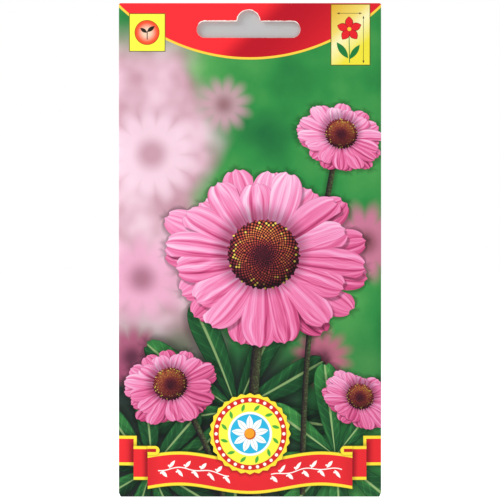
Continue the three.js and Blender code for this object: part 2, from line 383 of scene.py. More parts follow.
def seed_pose(name):
    """Where a frame seed lies: its middle, its turn and its length over the model's."""
    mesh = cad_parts[name].data
    corners = np.array([vertex.co for vertex in mesh.vertices]) / MM
    corners = np.unique(corners.round(4), axis=0)
    centre = corners.mean(axis=0)
    axis = np.linalg.svd(corners - centre)[2][0]
    along = (corners - centre) @ axis
    away = np.linalg.norm(corners - centre - np.outer(along, axis), axis=1)
    if away[along > 0].max() < away[along < 0].max():
        axis, along = -axis, -along
    ridge = corners[away.argmax()] - centre
    ridge -= (ridge @ axis) * axis
    ridge /= np.linalg.norm(ridge)
    length = along.max() - TOOTH - along.min()
    place = centre + axis * (along.min() + length / 2)
    turn = Matrix(np.array([axis, ridge, np.cross(axis, ridge)]).T.tolist()).to_euler()
    return place, turn, length / SEED_LENGTH


def add_sockets(tree, way, kinds):
    """Gives a node tree its inputs or outputs; kinds has the kind of each by its label."""
    for label, kind in kinds.items():
        tree.interface.new_socket(name=label, in_out=way, socket_type="NodeSocket" + kind)


def tree_for(name, kinds):
    """A geometry tree with a mesh in and out; kinds has the kind of each further input."""
    tree = bpy.data.node_groups.new(name, "GeometryNodeTree")
    add_sockets(tree, "INPUT", {"Mesh": "Geometry", **kinds})
    add_sockets(tree, "OUTPUT", {"Mesh": "Geometry"})
    source = tree.nodes.new("NodeGroupInput")
    return tree, [Signal(tree, output) for output in source.outputs[:-1]]


def finish_tree(signal, finishes):
    """Ends a geometry tree: instances made real, and each face given its finish by number."""
    result = step(signal, "GeometryNodeRealizeInstances", {"Geometry": signal})
    number = step(
        signal, "GeometryNodeInputNamedAttribute", {"Name": "finish"}, data_type="FLOAT"
    )
    for i, material in enumerate(finishes):
        chosen = number.math("COMPARE", i, 0.5)
        inputs = {"Geometry": result, "Selection": chosen, "Material": material}
        result = step(signal, "GeometryNodeSetMaterial", inputs)
    sink = signal.tree.nodes.new("NodeGroupOutput")
    signal.tree.links.new(result.source, sink.inputs[0])


def grow(piece, tree, values):
    """Runs a geometry tree on a piece, with its inputs set by name, and keeps the plain mesh."""
    modifier = piece.modifiers.new(tree.name, "NODES")
    modifier.node_group = tree
    for socket in tree.interface.items_tree:
        if socket.in_out == "INPUT" and socket.name in values:
            modifier[socket.identifier] = values[socket.name]
    keep_result(piece)


def keep_result(piece):
    """Turns a piece and its modifiers into a plain mesh."""
    graph = bpy.context.evaluated_depsgraph_get()
    made = bpy.data.meshes.new_from_object(piece.evaluated_get(graph), depsgraph=graph)
    piece.modifiers.clear()
    piece.data = made


def seed_heap_tree():
    """A tree that sets one seed on each point, turned and stretched as the point says."""
    tree, (points, shape, scale) = tree_for(
        "seed_heap", {"Seed Shape": "Object", "Scale": "Float"}
    )
    info = step(points, "GeometryNodeObjectInfo", {"Object": shape}, output=4)
    named = "GeometryNodeInputNamedAttribute"
    turn = step(points, named, {"Name": "turn"}, data_type="FLOAT_VECTOR")
    longer = step(points, named, {"Name": "longer"}, data_type="FLOAT")
    size = vector(tree, longer * scale, scale, scale)
    inputs = {"Points": points, "Instance": info, "Rotation": turn, "Scale": size}
    finish_tree(step(points, "GeometryNodeInstanceOnPoints", inputs), [seed_coat])
    return tree


seed_names = sorted(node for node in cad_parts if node.startswith("seed_"))
poses = [seed_pose(name) for name in seed_names]
seed_points = mesh_of("seed_points", [place for place, _, _ in poses], [])
note(seed_points, "turn", [value for _, turn, _ in poses for value in turn], "FLOAT_VECTOR")
note(seed_points, "longer", [longer for _, _, longer in poses])
shape_source = add_object("seed_shape", seed_model())
seeds = add_object("seed_heap", seed_points)
grow(seeds, seed_heap_tree(), {"Seed Shape": shape_source, "Scale": MM})
bpy.data.objects.remove(shape_source)
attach(seeds, "root")
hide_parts(*seed_names)

# The sheet: one die-cut piece of coated paper, printed on its outer side, folded at both sides
# and up over the back at the bottom, glued into a pouch round the seeds, and punched with the
# hang slot. Its faces swell where the seeds lie. First comes its print, then its shape.


def shader_group(**outputs):
    """Turns a function into a node group: its arguments, all numbers, are the group's inputs, and
    what it returns are its outputs, in order."""

    def build(function):
        tree = bpy.data.node_groups.new(function.__name__, "ShaderNodeTree")
        labels = [name.replace("_", " ").title() for name in inspect.signature(function).parameters]
        add_sockets(tree, "INPUT", dict.fromkeys(labels, "Float"))
        add_sockets(tree, "OUTPUT", {name.title(): kind for name, kind in outputs.items()})
        source = tree.nodes.new("NodeGroupInput")
        results = function(*[Signal(tree, output) for output in source.outputs[:-1]])
        sink = tree.nodes.new("NodeGroupOutput")
        for result, socket in zip(results, sink.inputs):
            tree.links.new(result.source, socket)
        return tree

    return build


def use(group, *values, tree=None):
    """Places a group in a tree, which is its first value's unless given; returns its outputs."""
    tree = tree or values[0].tree
    node = tree.nodes.new("ShaderNodeGroup")
    node.node_tree = group
    feed(tree, node.inputs, values)
    return [Signal(tree, output) for output in node.outputs]


def chances(number):
    """Three random numbers from 0 to 1 that hold for like numbers."""
    kind = "ShaderNodeTexWhiteNoise"
    colour = step(number, kind, {"W": number}, output="Color", noise_dimensions="1D")
    return parts_of(colour, "ShaderNodeSeparateColor")


def streaks(where, detail):
    """Soft noise along one number, from 0 to 1, for streaks that run across it."""
    values = {"W": where, "Scale": 1, "Detail": detail}
    return step(where, "ShaderNodeTexNoise", values, noise_dimensions="1D")


def on_paper(tree):
    """Millimetres from the packet's middle, and below its top edge, as Signals."""
    x, _, z = parts_of(own_place(tree, (-middle, 0, -top), 1 / MM))
    return x, -z


EDGE = 0.05  # half the blur of a printed edge


def covers(inside):
    """1 where a shape's inside distance is above 0, with a printed edge's slight blur."""
    return inside.rise(-EDGE, EDGE)


def paint(ink, colour, inside):
    """Lays a colour on the print inside a shape."""
    return lay(ink, colour, covers(inside))


def reach_of(x, y):
    """How far off a place is that lies x and y away."""
    return (x * x + y * y) ** 0.5


def disc(x, y, centre_x, centre_y, radius):
    """How far inside a disc a place is, in millimetres."""
    return radius - reach_of(x - centre_x, y - centre_y)


def panel(x, y, left, right, start, end):
    """How far inside an upright rectangle a place is, in millimetres."""
    sides = (x - left).under(right - x)
    return sides.under(y - start).under(end - y)


def almond(x, y, centre_x, centre_y, heading, half_length, half_width):
    """How far inside a pointed leaf a place is; heading is its slope in radians."""
    off_x, off_y = x - centre_x, y - centre_y
    along = off_x * math.cos(heading) + off_y * math.sin(heading)
    across = off_y * math.cos(heading) - off_x * math.sin(heading)
    return half_width - along * along * (half_width / half_length**2) - abs(across)


def nearest_spoke(x, y, count, turn):
    """A place in a rosette: its reach, the angle between spokes, the number of the nearest spoke,
    and the angle from that spoke."""
    reach = reach_of(x, y)
    sector = math.tau / count
    angle = y.atan2(x) + turn
    which = (angle / sector).round()
    return reach, sector, which, angle - which * sector


def round_about(x, y, centre_x, centre_y, count, turn=0.0):
    """One sector of a rosette: lengths along and across the nearest of its spokes, and reach."""
    reach, _, _, lean = nearest_spoke(x - centre_x, y - centre_y, count, turn)
    return reach * lean.cos(), reach * lean.sin(), reach


# Petals: one ring of ray petals seen from above. Each has a narrow foot, its widest part beyond
# the middle and a notched tip, with its own length and lean. Light falls from the upper left.
LIGHT_X, LIGHT_Y = -0.6, -0.8


@shader_group(inside="Float", share="Float", side="Float", tint="Float", light="Float")
def ray_ring(x, y, count, turn, length, half_width, seed):
    reach, sector, which, lean = nearest_spoke(x, y, count, turn)
    petal = which.modulo(count)
    long_by, sway, tint = chances(petal + seed * 17.3 + 0.5)
    bent = lean + (sway - 0.5) * reach / length * 0.2
    along = reach * bent.cos()
    across = reach * bent.sin()
    own_length = length * (long_by * 0.2 + 0.84)
    share = (along / own_length).over(0.001)
    widest = (1 - share**5).over(0) ** 0.5
    half = half_width * share**0.62 * widest * 1.25
    side = (across / half.over(0.05)).over(-1).under(1)
    blunt = (across / half.over(half_width * 0.5)).over(-1).under(1)
    notch = abs((blunt * 3.1 + tint * 3).cos()) * length * 0.026
    inside = (half - abs(across)).under(own_length - notch - along)
    heading = which * sector - turn
    heading_x, heading_y = heading.cos(), heading.sin()
    side_light = side * (heading_x * LIGHT_Y - heading_y * LIGHT_X)
    tip_light = (share - 0.4) * (heading_x * LIGHT_X + heading_y * LIGHT_Y)
    light = side_light * 0.15 + tip_light * 0.3
    return inside, share, side, tint, light


@shader_group(ink="Color")
def petal_ink(share, side, tint, light):
    """Ink on one petal: grooves and streaks that run from foot to tip, and a shaded foot."""
    drift = streaks(share * 2.2 + tint * 50, 1)
    streak = streaks(side * 2.4 + tint * 40 + drift * 1.6, 4)
    fine = streaks(side * 11 + tint * 90 - drift * 3, 2)
    veins = (side * 10.5 + tint * 6).sin() * (1 - side * side)
    groove = abs(abs(side) - 0.36).rise(0.13, 0.0) * share.rise(0.1, 0.4)
    tone = share * 0.2 + (streak - 0.5) * 0.74 + (fine - 0.5) * 0.34 + veins * 0.07 + 0.4
    tone = tone + light + (tint - 0.5) * 0.22 - groove * 0.18
    tone = tone - share.rise(0.36, 0.12) * 0.36 - abs(side).rise(0.8, 1) * 0.12
    stops = (0, "86264f"), (0.25, "c9487c"), (0.48, "e878a8"), (0.7, "f0a2cb"), (0.95, "f9d3e8")
    return (tones(tone, *stops),)


@shader_group(ink="Color", inside="Float")
def seed_head(x, y, radius, seed):
    """A bristly dome of florets in two families of spirals, fewer towards its middle."""
    reach = reach_of(x, y)
    angle = y.atan2(x)
    outward = reach / radius
    spiral = outward.over(0.02).math("LOGARITHM", math.e)
    inner = outward.math("LESS_THAN", 0.56)
    core = outward.math("LESS_THAN", 0.3)
    arms = 34 - inner * 13 - core * 8
    cross_arms = 55 - inner * 21 - core * 13
    first = (angle * arms + spiral * cross_arms) / math.tau
    second = (angle * cross_arms - spiral * arms) / math.tau
    cell_first, cell_second = first.floor(), second.floor()
    off_first, off_second = first - cell_first - 0.5, second - cell_second - 0.5
    from_tip = reach_of(off_first, off_second)
    wrapped = cell_second.modulo(cross_arms)
    chance, gold, _ = chances(cell_first.modulo(arms) * 57 + wrapped + seed)
    bristle = (angle * 34 + seed).sin() * 0.22 + (angle * 55).sin() * 0.18
    inside = radius - reach + bristle * outward.rise(0.75, 1)
    warm = abs(outward - 0.62).rise(0.5, 0.05) * 0.5 + chance * 0.3
    warm = warm - y / radius * 0.25
    floret = tones(warm, (0.0, "4a1a2c"), (0.3, "7d2a37"), (0.6, "b0433a"), (0.9, "dc8243"))
    speck = gold.rise(0.84, 0.88) * outward.rise(0.62, 0.84)
    floret = lay(floret, "f2cf5c", speck)
    ink = lay("1d0d17", floret, from_tip.rise(0.5, 0.16))
    glow = 1.0 - (x * 0.32 + y * 0.42) / radius - outward.rise(0.72, 1.05) * 0.35
    return dim(ink, glow.over(0.35)), inside


@shader_group(ink="Color", inside="Float")
def open_flower(x, y, centre_x, centre_y, length, squash, tilt, count, seed, light):
    """A whole flower head: two rings of rays, the lower one in shade, round a domed middle."""
    off_x, off_y = x - centre_x, y - centre_y
    cosine, sine = tilt.cos(), tilt.sin()
    local_x = off_x * cosine + off_y * sine
    local_y = (off_y * cosine - off_x * sine) / squash
    half = length * math.pi / count * 0.9
    sector = math.tau / count
    dome = length * 0.34
    dome_y = (local_y * squash) / (squash * 0.25 + 0.75) + dome * (1 - squash) * 0.9
    head_ink, dome_inside = use(seed_head, local_x, dome_y, dome, seed)
    lower = use(ray_ring, local_x, local_y, count, seed + sector * 0.5, length, half, seed)
    shape = (count, seed, length * 0.96, half, seed + 7)
    upper = use(ray_ring, local_x, local_y, *shape)
    drop_x, drop_y = local_x + length * LIGHT_X * 0.04, local_y + length * LIGHT_Y * 0.04
    cast = use(ray_ring, drop_x, drop_y, *shape)[0]
    lower_ink = use(petal_ink, *lower[1:4], lower[4] + light - 0.12)[0]
    upper_ink = use(petal_ink, *upper[1:4], upper[4] + light)[0]
    shade = 1 - cast.rise(-0.5, 0.5) * 0.5
    head = dim(lower_ink, shade)
    upper_ink = dim(upper_ink, upper[0].rise(-0.05, 0.3) * 0.35 + 0.65)
    head = paint(head, upper_ink, upper[0])
    dome_shade = (dome_inside - local_x * 0.05 - local_y * 0.08).rise(-0.16 * length, 0.2)
    head = dim(head, 1 - dome_shade * 0.5)
    head = paint(head, head_ink, dome_inside)
    inside = lower[0].over(upper[0]).over(dome_inside)
    return dim(head, light * 0.8 + 1), inside


@shader_group(cover="Float", heart="Float")
def soft_bloom(x, y, centre_x, centre_y, radius, count, blur):
    """A flower far out of focus: how much of it covers a place, and how much of its heart."""
    along, across, reach = round_about(x, y, centre_x, centre_y, 1)
    angle = across.atan2(along)
    rim = radius * (abs((angle * count * 0.5 + radius).cos()) * 0.24 + 0.76)
    cover = (rim - reach).rise(-blur, blur)
    heart = (radius * 0.3 - reach).rise(-blur * 0.7, blur * 0.7)
    return cover, heart


@shader_group(ink="Color", inside="Float")
def leaf_fan(x, y, centre_x, centre_y, length, half_width, count, turn, light):
    """A rosette of long leaves, each with a pale midrib, side veins and one half in shade."""
    off_x, off_y = x - centre_x, y - centre_y
    ring = use(ray_ring, off_x, off_y, count, turn, length, half_width, count + turn)
    inside, share, side, tint, glow = ring
    mottled = streaks(side * 1.3 + tint * 30 + share * 3, 3)
    vein = (share * 60 - abs(side) * 9).sin().rise(0.72, 1)
    tone = (mottled - 0.5) * 0.6 + side.rise(-0.1, 0.1) * 0.16 + glow * 1.2 + light + 0.36
    tone = tone + vein * 0.1 - inside.rise(0.4, 0) * 0.25
    ink = tones(tone, (0.0, "0f2419"), (0.35, "20562f"), (0.65, "3f8a45"), (1.0, "86bf69"))
    midrib = abs(side).rise(0.13, 0.05)
    ink = lay(ink, dim("a9cf88", light + 0.8), midrib)
    return ink, inside


@shader_group(ink="Color", inside="Float")
def stem(x, y, speck, foot_x, foot_y, tip_x, tip_y, bow, half_width):
    """A round bristly stem, light along its left side; bow is how far it curves sideways."""
    run_x, run_y = tip_x - foot_x, tip_y - foot_y
    run = reach_of(run_x, run_y)
    off_x, off_y = x - foot_x, y - foot_y
    ends = (off_x * run_x + off_y * run_y) / run
    share = (ends / run).over(0).under(1)
    across = (off_x * run_y - off_y * run_x) / run - bow * share * (1 - share) * 4
    inside = (half_width - abs(across)).under(ends).under(run - ends)
    side = across / half_width
    tone = 0.42 - side * 0.3 - side * side * 0.25 + (speck - 0.5) * 0.9
    ink = tones(tone, (0.0, "1b151f"), (0.45, "3b392b"), (0.75, "557040"), (1.0, "a2b97c"))
    return ink, inside


# Front print: a soft garden ground with open pink flowers, a red header over an arc with a yellow
# line, two small badges, and a red ribbon with a plain daisy medallion. All of it is generic.
HEADER_RADIUS, HEADER_LOWEST, LINE_WIDTH = 57.5, 16.5, 0.7
RED, CRIMSON = "fb2e36", "b81425"
RIBBON_RED, RIBBON_SHADE = "e92c33", "b81a28"
YELLOW, LEMON, GOLD_LINE = "fde43c", "fbf64a", "fbcf45"
WHITE, INK_BLACK = "fdfcf7", "2b2620"
CARD_LINE = "4d4a1c"


def garden_ground(x, drop):
    """Out-of-focus greenery with a pale pink haze at the left and deep shade low down."""
    slow = blotches(x.tree, 26, seed=1.0)
    fine = blotches(x.tree, 5, seed=2.0)
    shift = (slow - 0.5) * 34
    tone = (slow - 0.5) * 1.5 + (fine - 0.5) * 0.16 + 0.5
    ink = tones(tone, (0.1, "1a6338"), (0.45, "2f8a43"), (0.75, "4fa052"), (1.0, "8cc07c"))
    rose = blotches(x.tree, 15, seed=4.0) + (fine - 0.5) * 0.06
    pink = tones(rose, (0.25, "b07a8a"), (0.43, "c99cab"), (0.6, "e2bccb"), (0.8, "f5dae6"))
    haze = (x + shift).rise(-6, -19) * drop.rise(4, 20) * (drop + shift).rise(116, 94)
    ink = lay(ink, pink, haze)
    deep = (drop + shift * 0.7).rise(92, 116) * (1 - (x + shift * 0.6).rise(6, 24) * 0.75)
    return lay(ink, "231a2a", deep * 0.92)


SOFT_BLOOMS = [  # x, drop, radius, petals, blur, petals' colour, heart's colour, strength
    (-30, 46, 14, 13, 3.8, "f3d3e2", "b98797", 0.8),
    (-33, 84, 12, 11, 4.2, "eaabc9", "9a6074", 0.8),
    (-8, 31, 7.5, 11, 3.0, "dd9dba", "7c4a50", 0.65),
    (35, 73, 11, 12, 3.6, "d8719f", "6d3a40", 0.8),
    (22, 108, 8, 12, 3.2, "c95787", "54263a", 0.75),
    (-36, 108, 9, 12, 3.2, "a84b72", "421f30", 0.8),
]
LEAF_FANS = [  # x, drop, length, half width, count, turn, light
    (-4, 124, 34, 4.6, 9, 0.5, -0.22),
    (26, 138, 30, 4.4, 8, 0.9, -0.06),
    (-30, 142, 24, 3.8, 9, 0.2, -0.2),
]
STEMS = [  # foot x, foot drop, tip x, tip drop, bow, half width
    (16, 150, 27, 42, 3, 0.85),
    (-8, 152, -24, 116, -2, 0.9),
    (2, 152, 5, 88, 2.5, 1.5),
]
FLOWERS = [  # x, drop, petal length, squash, tilt, petals, seed, light
    (27.5, 41, 14.5, 0.7, 0.3, 13, 2, 0.02),
    (-24, 117, 15.5, 0.78, -0.3, 13, 5, -0.06),
    (33, 121, 12.5, 0.66, 0.5, 12, 8, -0.03),
    (4, 78, 32, 0.86, 0.12, 15, 11, 0.02),
]


def put(ink, picture, shade=0.4, spread=1.8):
    """Lays a drawn shape on the print, with a soft shadow round it."""
    over, inside = picture
    ink = dim(ink, 1 - inside.rise(-spread, 0) * shade)
    return paint(ink, over, inside)


def draw_header(ink, x, drop):
    """The red header: bright on the left, and deep crimson past a soft slanting step."""
    header = disc(x, drop, 0, HEADER_LOWEST - HEADER_RADIUS, HEADER_RADIUS)
    ink = paint(ink, GOLD_LINE, header + LINE_WIDTH)
    band = x + drop
    deep = band.rise(3, 13) * (1 - band.rise(16, 46) * 0.55)
    return paint(ink, lay(RED, CRIMSON, deep), header)


def framed(ink, shape, line, face, border=0.22):
    """A printed shape with a thin line of another colour round it."""
    return paint(paint(ink, line, shape), face, shape - border)


def draw_left_badge(ink, x, drop):
    """A yellow square with an orange button, and a sprout of two leaves on it."""
    ink = framed(ink, panel(x, drop, -36.9, -25.8, 3.1, 14.8), CARD_LINE, LEMON)
    button = disc(x, drop, -31.4, 8.95, 3.8)
    face = lay("fbd0b4", "f2512e", button.rise(3.0, 0.5))
    ink = framed(ink, button, "8c2b1d", face, 0.16)
    sprout = almond(x, drop, -32.45, 8.3, 0.6, 1.25, 0.55)
    sprout = sprout.over(almond(x, drop, -30.25, 7.9, -0.65, 1.45, 0.6))
    sprout = sprout.over(panel(x, drop, -31.5, -31.22, 8.6, 11.1))
    return paint(ink, INK_BLACK, sprout)


def draw_right_badge(ink, x, drop):
    """A golden upright card: a little red flower on its stem, and arrows for spread and height."""
    badge = panel(x, drop, 24.6, 36.7, 0.25, 19.0)
    slant = (x - 30) * 0.05 + (drop - 9) * 0.055
    card = tones(
        slant * 0.7 + 0.5, (0.0, "dba92c"), (0.35, "ecd468"), (0.5, "f5eeb4"), (0.8, "ecdf3d")
    )
    ink = framed(ink, badge, "5a4a17", card)
    stalk = (0.13 - abs(x - 30.2 - (drop - 9) * 0.02)).under(drop - 9).under(18.2 - drop)
    leaves = almond(x, drop, 28.2, 14.4, 0.95, 3.0, 1.0)
    leaves = leaves.over(almond(x, drop, 31.9, 14.9, -0.95, 2.7, 0.85)).over(stalk)
    ink = paint(ink, "1f7a3a", leaves)
    along, across, _ = round_about(x, drop, 30.3, 7.9, 5, 0.35)
    petals = almond(along, across, 2.05, 0.0, 0.0, 1.75, 1.15)
    ink = paint(ink, "7c1418", petals + 0.12)
    ink = paint(ink, "e3242b", petals - 0.06)
    ink = paint(ink, "f8c43a", disc(x, drop, 30.3, 7.9, 0.6))
    spread, tall = abs(x - 30.3), abs(drop - 11.1)
    level, plumb = abs(drop - 3.1), abs(x - 34.6)
    arrows = (0.07 - level).under(3.7 - spread)
    arrows = arrows.over(((3.9 - spread) * 0.32 - level).under(spread - 3.0))
    arrows = arrows.over((0.07 - plumb).under(7.1 - tall))
    arrows = arrows.over(((7.3 - tall) * 0.32 - plumb).under(tall - 6.4))
    return paint(ink, INK_BLACK, arrows)


RIBBON_SWING, RIBBON_WAVE, RIBBON_BORDER = 1.3, 43, 0.95
TAIL_START, BAND_END, TURN_START = 34.5, 31.2, 28.6
ROLL_END, ROLL_DROP, ROLL_RADIUS = 28.9, 136.35, 1.35
LEAF_GAP = 2.4
MEDALLION_DROP, PEARL_REACH = 131.2, 10.3


@shader_group(ink="Color", inside="Float")
def ribbon_strip(side, drop, left, right, start, end, open_end, shade):
    """A stretch of ribbon between two places and two edges, with yellow borders. Where open_end
    is 0, the border runs on down its left end, and where it is large, that end has none."""
    edge = (drop - start).under(end - drop)
    inside = edge.under(side - left).under(right - side)
    edge = edge.under(side - left + open_end)
    weave = (drop * 11).sin() * 0.02 + 1
    red = lay(RIBBON_RED, RIBBON_SHADE, shade)
    ink = dim(lay(YELLOW, red, covers(edge - RIBBON_BORDER)), weave)
    ink = dim(ink, 1 - edge.rise(0.22, 0.0) * 0.35)
    return ink, inside


def draw_ribbon(ink, x, drop):
    """A folded ribbon across the foot, with a trailing sprig in white along it."""
    side = abs(x)
    swing = (x * (math.tau / RIBBON_WAVE)).cos() * RIBBON_SWING
    tail_fold = side.rise(38.5, 35.3)
    ink = put(ink, use(ribbon_strip, side, drop, TAIL_START, 44, 131.9, 141, 0, tail_fold))
    turn_fold = side.rise(33.4, 31.0) * 0.9
    turn = use(ribbon_strip, side, drop, TURN_START, 35.5, 135, 145.4, 9, turn_fold)
    ink = put(ink, turn)
    start, end = 137.9 + swing, 148.4 + swing
    band_fold = side.rise(26.5, 31.4) * 0.35 + abs(side - 14).rise(9, 0) * 0.2
    ink = put(ink, use(ribbon_strip, side, drop, -1, BAND_END, start, end, 9, band_fold))
    off_line = drop - ROLL_DROP
    roll = (ROLL_RADIUS - reach_of((ROLL_END - side).over(0), off_line)).under(BAND_END - side)
    ink = paint(dim(ink, 1 - roll.rise(-0.8, 0) * 0.3), YELLOW, roll)
    inner_roll = covers(0.5 - abs(off_line)) * covers(BAND_END - side) * covers(side - TURN_START)
    ink = lay(ink, RIBBON_SHADE, inner_roll)
    level = drop - 143.1 - swing
    vine = (x * (math.tau / 9.6)).sin()
    spot = x / LEAF_GAP
    which = spot.round()
    local = (spot - which) * LEAF_GAP
    flip = which.modulo(2) * 2 - 1
    turned = level * flip
    leaves = almond(local, turned, 0.25, 1.35, 0.9, 1.45, 0.5)
    leaves = leaves.over(disc(local, turned, -0.75, 1.0, 0.28))
    cells_out = abs(which)
    leaves = leaves.under((cells_out - 2.5) * 9).under((11.5 - cells_out) * 9)
    twig = (0.16 - abs(level - vine * 0.35)).under(28 - side).under(side - 6.4)
    return paint(ink, WHITE, leaves.over(twig))


def draw_medallion(ink, x, drop):
    """A round rosette over the ribbon: a scalloped rim, a band of pearls and a plain daisy."""
    centre = (0, MEDALLION_DROP)
    along, across, reach = round_about(x, drop, *centre, 28)
    rim = 12.4 - reach - abs(across) * 0.45
    ink = put(ink, (YELLOW, rim), 0.45, 1.4)
    ink = paint(ink, "d32a26", 11.1 - reach)
    ink = paint(ink, WHITE, disc(along, across, PEARL_REACH, 0, 0.5))
    ink = paint(ink, LEMON, 9.5 - reach)
    leaf_along, leaf_across, _ = round_about(x, drop, *centre, 12, math.pi / 12)
    leaves = almond(leaf_along, leaf_across, 8.1, 0.0, 0.55, 1.25, 0.5)
    ink = paint(ink, "4fae3d", leaves)
    ink = paint(ink, WHITE, 6.7 - reach)
    ink = paint(ink, "2fb7e0", 6.0 - reach)
    petal_along, petal_across, _ = round_about(x, drop, *centre, 9, 0.2)
    petals = almond(petal_along, petal_across, 3.3, 0.0, 0.0, 2.35, 0.98)
    ink = paint(ink, WHITE, petals)
    vein = (0.07 - abs(petal_across)).under(petals - 0.3)
    ink = paint(ink, "b9c7cf", vein)
    button = 1.75 - reach
    ink = paint(ink, "c9591d", button)
    return paint(ink, "f6a32c", button - 0.3 - (x + drop - MEDALLION_DROP) * 0.1)


def draw_front(x, drop):
    ink = garden_ground(x, drop)
    for *shape, petals, heart, strength in SOFT_BLOOMS:
        cover, middle_cover = use(soft_bloom, x, drop, *shape)
        ink = lay(ink, petals, cover * strength)
        ink = lay(ink, heart, middle_cover * strength)
    for fan in LEAF_FANS:
        ink = put(ink, use(leaf_fan, x, drop, *fan), 0.5, 3.0)
    speck = blotches(x.tree, 0.5, detail=3)
    for row in STEMS:
        ink = put(ink, use(stem, x, drop, speck, *row))
    for row in FLOWERS:
        ink = put(ink, use(open_flower, x, drop, *row), 0.5, 2.6)
    ink = draw_header(ink, x, drop)
    ink = draw_left_badge(ink, x, drop)
    ink = draw_right_badge(ink, x, drop)
    ink = draw_ribbon(ink, x, drop)
    return draw_medallion(ink, x, drop)


# Coated paper: how every printed side of the sheet takes the light. Its coating has a low sheen
# with a faint fibre grain. Ink has chipped white at the corners and where the slot was punched.
SLOT_LENGTH, SLOT_HEIGHT, HUMP_RADIUS, SLOT_FILLET = 31.6, 5.0, 3.45, 0.4
slot_x = -middle
slot_drop = top + HUMP_RADIUS  # of the slot's straight upper edge


@shader_group(worn="Float")
def edge_wear(x, y):
    """Where ink has chipped to white paper: at the corners and round the punched slot."""
    ragged = blotches(x.tree, 0.7, detail=4)
    from_corner = (width / 2 - abs(x)).over(y.under(height - y))
    rubbed = (from_corner - ragged * 0.7 + 0.12).rise(0.08, -0.08)
    end = (SLOT_LENGTH - SLOT_HEIGHT) / 2
    beyond = (abs(x - slot_x) - end).over(0)
    level = y - (slot_drop + SLOT_HEIGHT / 2)
    bar = reach_of(beyond, level) - SLOT_HEIGHT / 2
    gap = bar.under(-disc(x, y, slot_x, slot_drop, HUMP_RADIUS))
    upper = y.rise(slot_drop + 1.2, slot_drop + 0.2)
    reach = ragged * 0.14 - 0.05 + upper * ragged * 0.3 + upper * x.rise(-1, -4) * 0.1
    chipped = (gap - reach).rise(0.04, -0.04)
    return (rubbed.over(chipped),)


@shader_group(height="Float")
def paper_grain(fibre, cockle):
    """Height of the coating's faint fibre grain and a slow cockle, from the most of each."""
    grain = blotches(fibre.tree, 0.35, detail=3) * fibre
    slow = blotches(fibre.tree, 14, detail=1, seed=5.0) * cockle
    return (grain + slow,)


RAW_PAPER = "f6f3ec"
FIBRE_RELIEF, COCKLE_RELIEF = 0.004, 0.05


def coated_paper(name, draw):
    """A material of coated printed paper; draw gives its ink from x and the drop."""
    material, tree, shader = surface(name, 0.4, 0.12)
    x, drop = on_paper(tree)
    ink = draw(x, drop)
    worn = use(edge_wear, x, drop)[0]
    ink = lay(ink, RAW_PAPER, worn)
    rough = worn * 0.3 + blotches(tree, 6, seed=9.0) * 0.08 + 0.34
    drive(shader, "Base Color", ink)
    drive(shader, "Roughness", rough)
    emboss(shader, use(paper_grain, FIBRE_RELIEF, COCKLE_RELIEF, tree=tree)[0])
    return material


RULE_GAP = 4.2


def draw_back(x, drop):
    """A pale panel under the header: a picture row, a twelve-month strip and ruled lines."""
    ink = lay("f3eedb", "ece4c4", drop.rise(20, 150))
    frame_line = panel(x, drop, -36, 34.5, 24, 133)
    ink = lay(ink, "3c8f47", covers(frame_line) * covers(0.45 - frame_line))
    rules = (drop - 3) / RULE_GAP
    rule = abs(rules - rules.round()) * RULE_GAP
    ruled = (0.15 - rule).under(panel(x, drop, -31, 30, 55, 98))
    ink = paint(ink, "8fa17c", ruled)
    column = (x + 30) / 5.0
    month = column.floor()
    cell = abs(column - month - 0.5)
    strip = panel(x, drop, -30, 30, 103, 110.5)
    sowing = month.math("COMPARE", 3, 1.2)
    bloom = month.math("COMPARE", 7, 1.2)
    fill = lay(WHITE, "4fa052", sowing)
    fill = lay(fill, "e878a8", bloom)
    ink = paint(ink, "4b5a41", strip + 0.15)
    ink = lay(ink, fill, covers(strip - 0.1) * covers((0.47 - cell) * 5))
    label = panel(x, drop, -2, 30, 115, 129)
    ink = paint(ink, "4b5a41", label + 0.15)
    ink = paint(ink, WHITE, label)
    for place, sign in ((-22, "sun"), (-0.75, "drop"), (20.5, "sprout")):
        ink = framed(ink, panel(x, drop, place - 7.5, place + 7.5, 31, 46), CARD_LINE, LEMON)
        if sign == "sun":
            along, across, reach = round_about(x, drop, place, 38.5, 12)
            rays = (along - 3.5).under(5.4 - along).under(0.35 - abs(across))
            ink = paint(ink, "f07a1e", rays.over(2.7 - reach))
        elif sign == "drop":
            tip = ((drop - 33) * 0.45 - abs(x - place)).under(40.0 - drop)
            ink = paint(ink, "2f9fd6", tip.over(disc(x, drop, place, 40.4, 3.1)))
        else:
            leaves = almond(x, drop, place - 2.3, 37.2, 0.5, 2.9, 1.2)
            leaves = leaves.over(almond(x, drop, place + 2.3, 36.4, -0.6, 3.1, 1.3))
            leaves = leaves.over(panel(x, drop, place - 0.25, place + 0.25, 37.6, 43))
            ink = paint(ink, "2f8a43", leaves)
            ink = paint(ink, "6b4526", panel(x, drop, place - 5, place + 5, 42.6, 44))
    return draw_header(ink, x, drop)


def draw_flap(x, drop):
    """The turned-up bottom flap: the ribbon's red, and a yellow line along its free edge."""
    ink = lay(RIBBON_RED, RIBBON_SHADE, (x + drop * 0.3).rise(-20, 90))
    line = 0.45 - abs(drop - (height - 11.4))
    return paint(ink, YELLOW, line)


def bare_paper(name, code, roughness):
    """Unprinted paper: the sheet's inner face, or the white core that a cut lays open."""
    material, tree, shader = surface(name, roughness, 0.2)
    fleck = blotches(tree, 0.6, detail=4)
    ink = dim(code, fleck * 0.16 + 0.9)
    drive(shader, "Base Color", ink)
    emboss(shader, fleck * 0.01)
    return material


